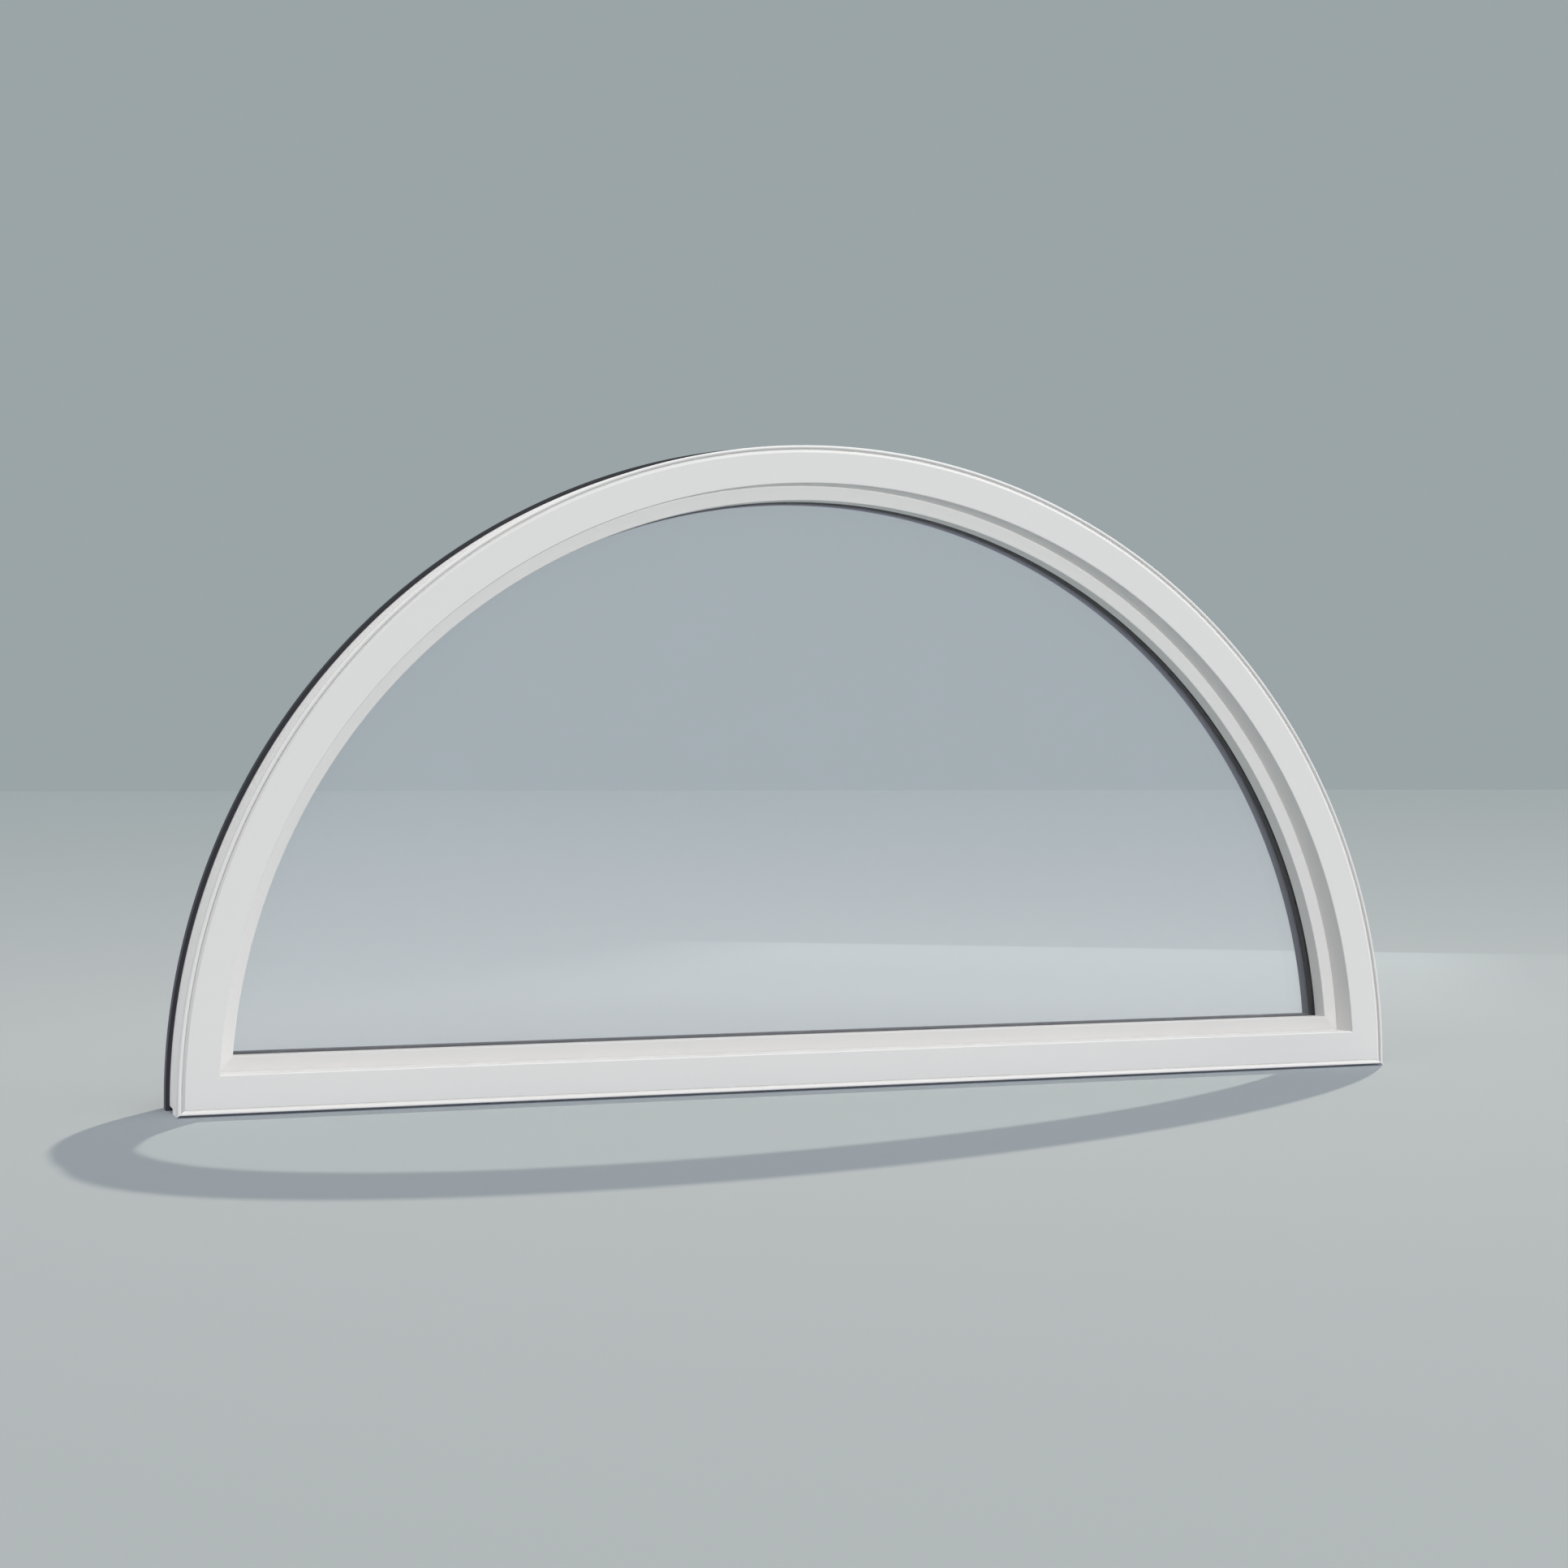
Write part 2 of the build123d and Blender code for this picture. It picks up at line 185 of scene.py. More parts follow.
def powder_coat(colours):
    """Aluminium extrusion with a near-black polyester powder coat, baked on.
    It gives the eye a dark satin skin with a fine orange peel and blurred highlights."""
    material, tree = start_material("powder_coated_aluminium")
    place = add(tree, "ShaderNodeTexCoord")
    colour = mottled(tree, place.outputs["Object"], colours.cladding, 180, 0.92, 1.08)
    # Orange peel of about 1 mm, drawn at 2.2 mm
    peel = add(tree, "ShaderNodeTexNoise", {"Vector": place.outputs["Object"], "Scale": per_metre(2.2), "Detail": 1.5})
    dust = add(tree, "ShaderNodeTexNoise", {"Vector": place.outputs["Object"], "Scale": per_metre(60), "Detail": 4.0})
    bump = add(tree, "ShaderNodeBump", {"Strength": 0.25, "Distance": 0.00006, "Height": peel.outputs["Fac"]})
    shader = add(tree, "ShaderNodeBsdfPrincipled", {
        "Base Color": colour, "Roughness": spread(tree, dust.outputs["Fac"], 0.5, 0.62),
        "IOR": 1.5, "Specular IOR Level": 0.28, "Normal": bump.outputs["Normal"]})
    finish_material(tree, shader.outputs["BSDF"])
    return material


def plain_black(name, base, size_mm, roughness, bump_size, bump_height, bump_strength):
    """Shared tree of the dull black pieces: clouded colour, uneven gloss and one bump."""
    material, tree = start_material(name)
    place = add(tree, "ShaderNodeTexCoord")
    colour = mottled(tree, place.outputs["Object"], base, size_mm, 0.85, 1.2)
    gloss = add(tree, "ShaderNodeTexNoise", {"Vector": place.outputs["Object"], "Scale": per_metre(size_mm / 3), "Detail": 3.0})
    grain = add(tree, "ShaderNodeTexNoise", {"Vector": place.outputs["Object"], "Scale": per_metre(bump_size), "Detail": 2.0})
    bump = add(tree, "ShaderNodeBump", {"Strength": bump_strength, "Distance": bump_height, "Height": grain.outputs["Fac"]})
    shader = add(tree, "ShaderNodeBsdfPrincipled", {
        "Base Color": colour, "Roughness": spread(tree, gloss.outputs["Fac"], roughness - 0.06, roughness + 0.06),
        "IOR": 1.5, "Specular IOR Level": 0.3, "Normal": bump.outputs["Normal"]})
    finish_material(tree, shader.outputs["BSDF"])
    return material


def gasket_rubber(colours):
    """Extruded EPDM rubber. It gives the eye a dull black line with a faint grey bloom."""
    return plain_black("extruded_epdm_rubber", colours.rubber, 40, 0.72, 1.5, 0.00004, 0.3)


def butyl_sealant(colours):
    """Gunned butyl and silicone sealant. It gives the eye a soft, slightly lumpy black."""
    return plain_black("gunned_black_sealant", colours.sealant, 25, 0.5, 9, 0.0004, 0.5)


def block_rubber(colours):
    """Cut neoprene blocks. They give the eye a flat dark grey with a cut, grainy face."""
    return plain_black("cut_neoprene", colours.block, 30, 0.8, 1.2, 0.00008, 0.5)


def cover_nylon(colours):
    """Moulded nylon. It gives the eye a near-black with the fine spark texture of its mould."""
    return plain_black("moulded_nylon", colours.cover, 20, 0.55, 0.9, 0.00005, 0.4)


def spacer_foam(colours):
    """Silicone foam bar with desiccant, extruded. It gives the eye a matt black band
    crossed by fine ribs, which are about 1 mm apart and drawn 2.5 mm apart."""
    material, tree = start_material("extruded_silicone_foam")
    place = add(tree, "ShaderNodeTexCoord")
    colour = mottled(tree, place.outputs["Object"], colours.spacer, 50, 0.88, 1.15)
    ribs = add(tree, "ShaderNodeTexWave", {"Vector": place.outputs["UV"], "Scale": per_metre(2.5) / 20, "Distortion": 0.4})
    pores = add(tree, "ShaderNodeTexNoise", {"Vector": place.outputs["Object"], "Scale": per_metre(1.0), "Detail": 2.0})
    rib_bump = add(tree, "ShaderNodeBump", {"Strength": 0.25, "Distance": 0.0001, "Height": ribs.outputs["Fac"]})
    bump = add(tree, "ShaderNodeBump", {"Strength": 0.4, "Distance": 0.00008, "Height": pores.outputs["Fac"], "Normal": rib_bump.outputs["Normal"]})
    shader = add(tree, "ShaderNodeBsdfPrincipled", {
        "Base Color": colour, "Roughness": spread(tree, pores.outputs["Fac"], 0.68, 0.8),
        "IOR": 1.45, "Normal": bump.outputs["Normal"]})
    finish_material(tree, shader.outputs["BSDF"])
    return material


def float_glass(colours):
    """Clear float glass, cast on molten tin and cleaned. It gives the eye a flat, cool sheet that
    takes the pale studio in its reflection; a faint film of dust on the pane that faces the
    weather keeps it from being invisible. Lamps shine through it, as through the real pane."""
    material, tree = start_material("clear_float_glass")
    place = add(tree, "ShaderNodeTexCoord")
    # Roller wave of about 300 mm, far too weak to bend a line
    wave = add(tree, "ShaderNodeTexNoise", {"Vector": place.outputs["Object"], "Scale": per_metre(300), "Detail": 0.0})
    bump = add(tree, "ShaderNodeBump", {"Strength": 0.05, "Distance": 0.0002, "Height": wave.outputs["Fac"]})
    glass = add(tree, "ShaderNodeBsdfPrincipled", {
        "Base Color": list(colours.glass), "Roughness": 0.0, "IOR": 1.46, "Transmission Weight": 1.0,
        "Normal": bump.outputs["Normal"]})
    dust = add(tree, "ShaderNodeTexNoise", {"Vector": place.outputs["Object"], "Scale": per_metre(150), "Detail": 5.0})
    film = add(tree, "ShaderNodeBsdfDiffuse", {"Color": linear("dfe4f4")})
    depth = add(tree, "ShaderNodeSeparateXYZ", {"Vector": place.outputs["Object"]})
    gathered = add(tree, "ShaderNodeMapRange", {
        "Value": depth.outputs["Y"], "From Min": FACE + INNER_PANE + PANE, "From Max": FACE + OUTER_PANE,
        "To Min": 0.004, "To Max": spread(tree, dust.outputs["Fac"], 0.048, 0.064)})
    dusty = add(tree, "ShaderNodeMixShader", {0: gathered.outputs["Result"], 1: glass.outputs["BSDF"], 2: film.outputs["BSDF"]})
    clear = add(tree, "ShaderNodeBsdfTransparent", {"Color": (0.97, 0.98, 0.98, 1.0)})
    ray = add(tree, "ShaderNodeLightPath")
    lit = add(tree, "ShaderNodeMath", {0: ray.outputs["Is Shadow Ray"], 1: ray.outputs["Is Diffuse Ray"]}, operation="MAXIMUM")
    both = add(tree, "ShaderNodeMixShader", {0: lit.outputs["Value"], 1: dusty.outputs["Shader"], 2: clear.outputs["BSDF"]})
    finish_material(tree, both.outputs["Shader"])
    return material


MATERIALS = {
    "white_frame": composite_white,
    "clear_glass": float_glass,
    "black_gasket": gasket_rubber,
    "black_spacer": spacer_foam,
    "edge_sealant": butyl_sealant,
    "glazing_block": block_rubber,
    "dark_cladding": powder_coat,
    "dark_cover": cover_nylon,
}


def finish_for(slot):
    """The one material of a record slot, made when it is first asked for."""
    made = bpy.data.materials.get(bpy.context.scene.get(f"halfround_{slot}", ""))
    if made is None:
        made = MATERIALS[slot](bpy.context.scene.halfround_colours)
        bpy.context.scene[f"halfround_{slot}"] = made.name
    return made


def rounded(section, steps=4):
    """Corners (inward, depth, radius) as points, with each corner turned into a small arc."""
    points = []
    count = len(section)
    for i, (u, v, radius) in enumerate(section):
        here = Vector((u, v))
        if radius == 0:
            points.append(here)
            continue
        before = (Vector(section[i - 1][:2]) - here).normalized()
        after = (Vector(section[(i + 1) % count][:2]) - here).normalized()
        half = before.angle(after) / 2
        reach = radius / math.tan(half)
        middle = here + (before + after).normalized() * radius / math.sin(half)
        first = here + before * reach - middle
        last = here + after * reach - middle
        for k in range(steps + 1):
            points.append(middle + first.slerp(last, k / steps) * radius)
    return points


def mitre_lines(sizes):
    """A point on the right corner's mitre and its direction, in the plane of the window."""
    run = sizes.face_radius - math.sqrt((sizes.face_radius - sizes.sight) ** 2 - (sizes.sight - sizes.face_drop) ** 2)
    corner = Vector((sizes.face_radius, 0, CENTRE - sizes.face_drop))
    return corner, Vector((-run, 0, sizes.sight))


def cut_at_mitres(mesh, sizes, keep_arch, joint):
    """Cut both ends beside the mitre planes, half the open joint away, and close them."""
    corner, along = mitre_lines(sizes)
    for side in (1, -1):
        normal = Vector((side * along.z, 0, -along.x))
        if not keep_arch:
            normal = -normal
        start = Vector((side * corner.x, 0, corner.z)) + normal.normalized() * joint / 2
        near = {v for v in mesh.verts if side * v.co.x > 0 and v.co.z < CENTRE + sizes.face_radius / 2}
        foot = list(near) + [e for e in mesh.edges if near.issuperset(e.verts)]
        foot += [f for f in mesh.faces if near.issuperset(f.verts)]
        cut = bmesh.ops.bisect_plane(
            mesh, geom=foot, plane_co=start, plane_no=normal, dist=1e-7, clear_inner=True)
        rim = [e for e in cut["geom_cut"] if isinstance(e, bmesh.types.BMEdge)]
        bmesh.ops.holes_fill(mesh, edges=rim, sides=0)


def bent(sizes, section, foot=None, joint=0.0):
    """A section bent over the half circle, on straight legs down to the foot, with mitred ends."""
    foot = BASE if foot is None else foot
    stations = [(0.0, CENTRE - foot)]
    stations += [(math.pi * i / sizes.arch_steps, 0.0) for i in range(sizes.arch_steps + 1)]
    stations += [(math.pi, CENTRE - foot)]
    mesh = bmesh.new()
    layer = mesh.loops.layers.uv.new("UVMap")
    rings = []
    for angle, drop in stations:
        ring = []
        for u, v in section:
            r = sizes.face_radius - u
            ring.append(mesh.verts.new((r * math.cos(angle), FACE + v, CENTRE - drop + r * math.sin(angle))))
        rings.append(ring)
    reach = [angle * sizes.face_radius + (drop if angle > 1 else -drop) for angle, drop in stations]
    skin(mesh, layer, rings, reach, section)
    cut_at_mitres(mesh, sizes, True, joint)
    return mesh


def straight(sizes, section, outer, joint=0.0):
    """The same section along the sill, with mitred ends cut plumb at the outer side."""
    mesh = bmesh.new()
    layer = mesh.loops.layers.uv.new("UVMap")
    end = sizes.face_radius + outer
    low = CENTRE - sizes.face_drop
    reach = [end, 0.5 * end, 0.0, -0.5 * end, -end]
    rings = [[mesh.verts.new((x, FACE + v, low + u)) for u, v in section] for x in reach]
    skin(mesh, layer, rings, reach, section)
    cut_at_mitres(mesh, sizes, False, joint)
    return mesh


def skin(mesh, layer, rings, reach, section):
    """Faces between rings of points, with lengths in metres as their UV map, and both ends closed."""
    around = [0.0]
    for a, b in zip(section, section[1:] + section[:1]):
        around.append(around[-1] + (b - a).length)
    count = len(section)
    for i in range(len(rings) - 1):
        for k in range(count):
            n = (k + 1) % count
            face = mesh.faces.new((rings[i][k], rings[i][n], rings[i + 1][n], rings[i + 1][k]))
            spots = ((reach[i], around[k]), (reach[i], around[k + 1]), (reach[i + 1], around[k + 1]), (reach[i + 1], around[k]))
            for loop, spot in zip(face.loops, spots):
                loop[layer].uv = spot
    for ring in (rings[0], rings[-1]):
        mesh.faces.new(ring)
    bmesh.ops.recalc_face_normals(mesh, faces=mesh.faces[:])


def place(mesh, name, slot, *nodes, smooth=30):
    """Turn a mesh into the finished piece that stands for CAD nodes."""
    bmesh.ops.remove_doubles(mesh, verts=mesh.verts[:], dist=1e-7)
    bmesh.ops.recalc_face_normals(mesh, faces=mesh.faces[:])
    for face in mesh.faces:
        face.smooth = True
    for edge in mesh.edges:
        edge.smooth = edge.is_manifold and edge.calc_face_angle(math.pi) < math.radians(smooth)
    data = bpy.data.meshes.new(name)
    mesh.to_mesh(data)
    mesh.free()
    piece = bpy.data.objects.new(name, data)
    bpy.context.scene.collection.objects.link(piece)
    weighted = piece.modifiers.new("even_shading", "WEIGHTED_NORMAL")
    weighted.keep_sharp = True
    weighted.weight = 100
    data.materials.append(finish_for(slot))
    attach(piece, "root")
    if nodes:
        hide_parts(*nodes)
    return piece


def millimetres(*corners):
    """Corners written in millimetres, in metres."""
    return [tuple(value * MM for value in corner) for corner in corners]


def face_profile(sizes, bevel, shoulder, nose):
    """Room side of the jamb: soft inner edge, bevel, shadow groove and round-nosed rim."""
    width = sizes.face_width / MM
    edge = sizes.soft_edge / MM
    end = 2.6 - bevel
    return millimetres(
        (width, 0, edge), (2.6, 0, bevel / 4), (end, 0.63 * bevel, bevel / 5), (end, 7.0, 0.3),
        (end - 1.2, 7.0, 0.3), (end - 1.2, 0.4, shoulder), (end - 6.6, 0.4, nose))


def kerfs(side, starts, deep, long, rise):
    """Corners of narrow grooves in a side that stands a little further out after each of them."""
    corners = []
    for start in starts:
        corners += [(side, start, 0.2 * MM), (side + deep, start, 0), (side + deep, start + long, 0)]
        side -= rise
        corners.append((side, start + long, 0.2 * MM))
    return corners


class HALFROUND_OT_jamb(bpy.types.Operator):
    """Front ring of the frame: broad white face, grooved edge and deep reveal"""

    bl_idname = "halfround.jamb"
    bl_label = "Jamb"

    def execute(self, context):
        sizes = context.scene.halfround_sizes
        back = (sizes.rebate, JAMB_BACK, 0)
        rim = sizes.rim_round / MM
        arch = face_profile(sizes, 3.8, rim, rim)
        arch += kerfs(-7.8 * MM, [step * MM for step in (11, 16, 21, 26, 31, 36, 41)], 0.9 * MM, 1.6 * MM, 0.24 * MM)
        arch += [(-sizes.jamb_out, JAMB_BACK, 0), back]
        place(bent(sizes, rounded(arch)), "jamb_ring", "white_frame", "jamb_arch")
        base = BASE - (CENTRE - sizes.face_drop)
        # The bead overhangs the foot, so that a dark gap runs along the floor
        foot = 24 * MM
        sill = face_profile(sizes, 0.6, 4.0, 0.7) + [(-4.6 * MM, foot, 0), (base, foot, 0.6 * MM), (base, JAMB_BACK, 0), back]
        place(straight(sizes, rounded(sill), sizes.jamb_out), "jamb_sill_board", "white_frame", "jamb_sill")
        return {"FINISHED"}


class HALFROUND_OT_frame(bpy.types.Operator):
    """Main frame behind the jamb, with kerfs in its outer side"""

    bl_idname = "halfround.frame"
    bl_label = "Main frame"

    def execute(self, context):
        sizes = context.scene.halfround_sizes
        inner = [(sizes.rebate, CLADDING_START, 0), (sizes.rebate, JAMB_BACK, 0)]
        outer = [(-sizes.jamb_out, JAMB_BACK, 0)]
        outer += kerfs(-sizes.jamb_out, [JAMB_BACK + step * MM for step in (3, 8.5, 14, 19.5, 25)], 1.1 * MM, 2.0 * MM, 0.2 * MM)
        outer += [(-sizes.frame_out, CLADDING_START - 18 * MM, 0), (-sizes.frame_out, CLADDING_START, 0)]
        place(bent(sizes, rounded(inner + outer, 3), LEG_FOOT), "frame_ring", "white_frame", "frame_arch")
        low = LEG_FOOT - (CENTRE - sizes.face_drop)
        under = [(low, JAMB_BACK, 0.4 * MM), (low, CLADDING_START, 0)]
        place(straight(sizes, rounded(inner + under), sizes.frame_out), "frame_sill_bar", "white_frame", "frame_sill")
        return {"FINISHED"}


class HALFROUND_OT_stop(bpy.types.Operator):
    """Indoor glazing stop: the second white step, down to the glass"""

    bl_idname = "halfround.stop"
    bl_label = "Glazing stop"

    def execute(self, context):
        sizes = context.scene.halfround_sizes
        section = rounded([
            (sizes.rebate + 0.3 * MM, JAMB_BACK + 1.4 * MM, 0), (sizes.rebate + 1.4 * MM, JAMB_BACK + 1.4 * MM, 0),
            (sizes.rebate + 1.4 * MM, JAMB_BACK, 0.3 * MM), (sizes.sight, JAMB_BACK, sizes.soft_edge),
            (sizes.sight - 1 * MM, STOP_BACK, 0.7 * MM), (sizes.rebate + 0.3 * MM, STOP_BACK, 0)])
        place(bent(sizes, section), "stop_ring", "white_frame", "stop_arch")
        place(straight(sizes, section, sizes.frame_out), "stop_bar", "white_frame", "stop_sill")
        return {"FINISHED"}


class HALFROUND_OT_gaskets(bpy.types.Operator):
    """Black rubber gaskets on both faces of the sealed glass, with a rounded nose"""

    bl_idname = "halfround.gaskets"
    bl_label = "Gaskets"

    def execute(self, context):
        sizes = context.scene.halfround_sizes
        for side, start, nose in (("indoor", STOP_BACK, sizes.sight - 1.6 * MM), ("outdoor", OUTER_PANE + PANE, sizes.sight - 0.6 * MM)):
            end = start + 2 * MM
            root = nose - 11 * MM
            section = rounded([
                (root, start, 0), (nose, start, 0.9 * MM), (nose, end, 0.9 * MM), (nose - 2.6 * MM, end, 0.2 * MM),
                (nose - 3.2 * MM, end - 0.5 * MM, 0.2 * MM), (nose - 4.2 * MM, end - 0.5 * MM, 0.2 * MM),
                (nose - 4.8 * MM, end, 0.2 * MM), (root, end, 0)], 3)
            place(bent(sizes, section), f"{side}_gasket_ring", "black_gasket", f"{side}_gasket_arch")
            place(straight(sizes, section, sizes.frame_out), f"{side}_gasket_run", "black_gasket", f"{side}_gasket_sill")
        return {"FINISHED"}


class HALFROUND_OT_glass_unit(bpy.types.Operator):
    """Two panes with seamed edges, the spacer bar between them and the sealant behind it"""

    bl_idname = "halfround.glass_unit"
    bl_label = "Glass unit"

    def execute(self, context):
        sizes = context.scene.halfround_sizes
        gap_start = INNER_PANE + PANE
        for name, start in (("inner_pane", INNER_PANE), ("outer_pane", OUTER_PANE)):
            place(self.pane(sizes, start), f"{name}_sheet", "clear_glass", name)
        top = sizes.glass_edge + 12 * MM
        low = sizes.glass_edge + 5 * MM
        middle = (gap_start + OUTER_PANE) / 2
        bar = rounded([
            (low, gap_start, 0), (top - 0.5 * MM, gap_start, 0), (top, gap_start + 0.5 * MM, 0.3 * MM),
            (top, middle - 2 * MM, 0.2 * MM), (top - 0.6 * MM, middle - 1.4 * MM, 0.2 * MM),
            (top - 0.6 * MM, middle + 1.4 * MM, 0.2 * MM), (top, middle + 2 * MM, 0.2 * MM),
            (top, OUTER_PANE - 0.5 * MM, 0.3 * MM), (top - 0.5 * MM, OUTER_PANE, 0), (low, OUTER_PANE, 0)], 2)
        place(bent(sizes, bar), "spacer_ring", "black_spacer", "spacer_arch")
        place(straight(sizes, bar, sizes.frame_out), "spacer_run", "black_spacer", "spacer_sill")
        edge = sizes.glass_edge
        seal = rounded([
            (edge, gap_start, 0), (low, gap_start, 0), (low, OUTER_PANE, 0), (edge, OUTER_PANE, 0),
            (edge + 1 * MM, middle, 4 * MM)])
        place(bent(sizes, seal), "edge_seal_ring", "edge_sealant", "edge_seal_arch")
        place(straight(sizes, seal, sizes.frame_out), "edge_seal_run", "edge_sealant", "edge_seal_sill")
        return {"FINISHED"}

    def pane(self, sizes, start):
        """A half disc of glass whose sharp edges are ground off."""
        radius = sizes.face_radius - sizes.glass_edge
        low = CENTRE - sizes.face_drop + sizes.glass_edge
        first = math.asin((low - CENTRE) / radius)
        outline = []
        for i in range(sizes.arch_steps + 1):
            angle = first + (math.pi - 2 * first) * i / sizes.arch_steps
            outline.append((radius * math.cos(angle), CENTRE + radius * math.sin(angle)))
        seam = 0.4 * MM
        mesh = bmesh.new()
        rings = []
        for depth, inset in ((0, seam), (seam, 0), (PANE - seam, 0), (PANE, seam)):
            shrink = (radius - inset) / radius
            rings.append([
                mesh.verts.new((x * shrink, FACE + start + depth, max(CENTRE + (z - CENTRE) * shrink, low + inset)))
                for x, z in outline])
        for a, b in zip(rings, rings[1:]):
            for i in range(len(a)):
                n = (i + 1) % len(a)
                mesh.faces.new((a[i], a[n], b[n], b[i]))
        mesh.faces.new(rings[0])
        mesh.faces.new(rings[-1])
        return mesh


class HALFROUND_OT_cladding(bpy.types.Operator):
    """Near-black aluminium cladding with a lip over the frame and a flange before the glass"""

    bl_idname = "halfround.cladding"
    bl_label = "Cladding"

    def execute(self, context):
        sizes = context.scene.halfround_sizes
        arch = self.section(sizes, -0.3 * MM - sizes.frame_out, sizes.face_radius - HALF_WIDTH)
        joint = 0.5 * MM
        place(bent(sizes, arch, joint=joint), "cladding_ring", "dark_cladding", "cladding_arch")
        low = BASE - (CENTRE - sizes.face_drop)
        sill = straight(sizes, self.section(sizes, -1.3 * MM, low), sizes.jamb_out, joint)
        place(sill, "cladding_sill_bar", "dark_cladding", "cladding_sill")
        return {"FINISHED"}

    def section(self, sizes, inside, outside):
        """Lip, outer side, bevelled outdoor face with its bead line, and the edge before the glass."""
        lip = CLADDING_START - 18 * MM
        return rounded([
            (inside, CLADDING_START, 0), (inside, lip, 0.4 * MM), (outside, lip, 1.0 * MM),
            (outside, DEPTH - 3 * MM, 1.2 * MM), (outside + 3 * MM, DEPTH, 1.2 * MM),
            (30 * MM, DEPTH, 0.4 * MM), (30 * MM, DEPTH - 2 * MM, 0.4 * MM),
            (33 * MM, DEPTH - 2 * MM, 0.4 * MM), (33 * MM, DEPTH, 0.4 * MM),
            (sizes.sight - 3 * MM, DEPTH, 1.2 * MM), (sizes.sight, DEPTH - 3 * MM, 1.2 * MM),
            (sizes.sight, CLADDING_START, 0.5 * MM)])


def dressed(node, slot, bevel):
    """A CAD node that keeps its shape and gets soft edges and its material."""
    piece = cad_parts[node]
    piece.data.materials.clear()
    piece.data.materials.append(finish_for(slot))
    soft = piece.modifiers.new("soft_edges", "BEVEL")
    soft.width = bevel
    soft.segments = 2
    soft.limit_method = "ANGLE"
    soft.angle_limit = math.radians(35)
    soft.harden_normals = True
    return piece


class HALFROUND_OT_blocks(bpy.types.Operator):
    """Setting blocks under the glass and edge blocks round it"""

    bl_idname = "halfround.blocks"
    bl_label = "Glazing blocks"

    def execute(self, context):
        for node in ("setting_block_left", "setting_block_right", "edge_block_left", "edge_block_right", "edge_block_crown"):
            dressed(node, "glazing_block", 0.5 * MM)
        return {"FINISHED"}


class HALFROUND_OT_weeps(bpy.types.Operator):
    """Moulded covers over the two drain slots"""

    bl_idname = "halfround.weeps"
    bl_label = "Weep covers"

    def execute(self, context):
        for node in ("weep_cover_left", "weep_cover_right"):
            dressed(node, "dark_cover", 0.3 * MM)
        return {"FINISHED"}


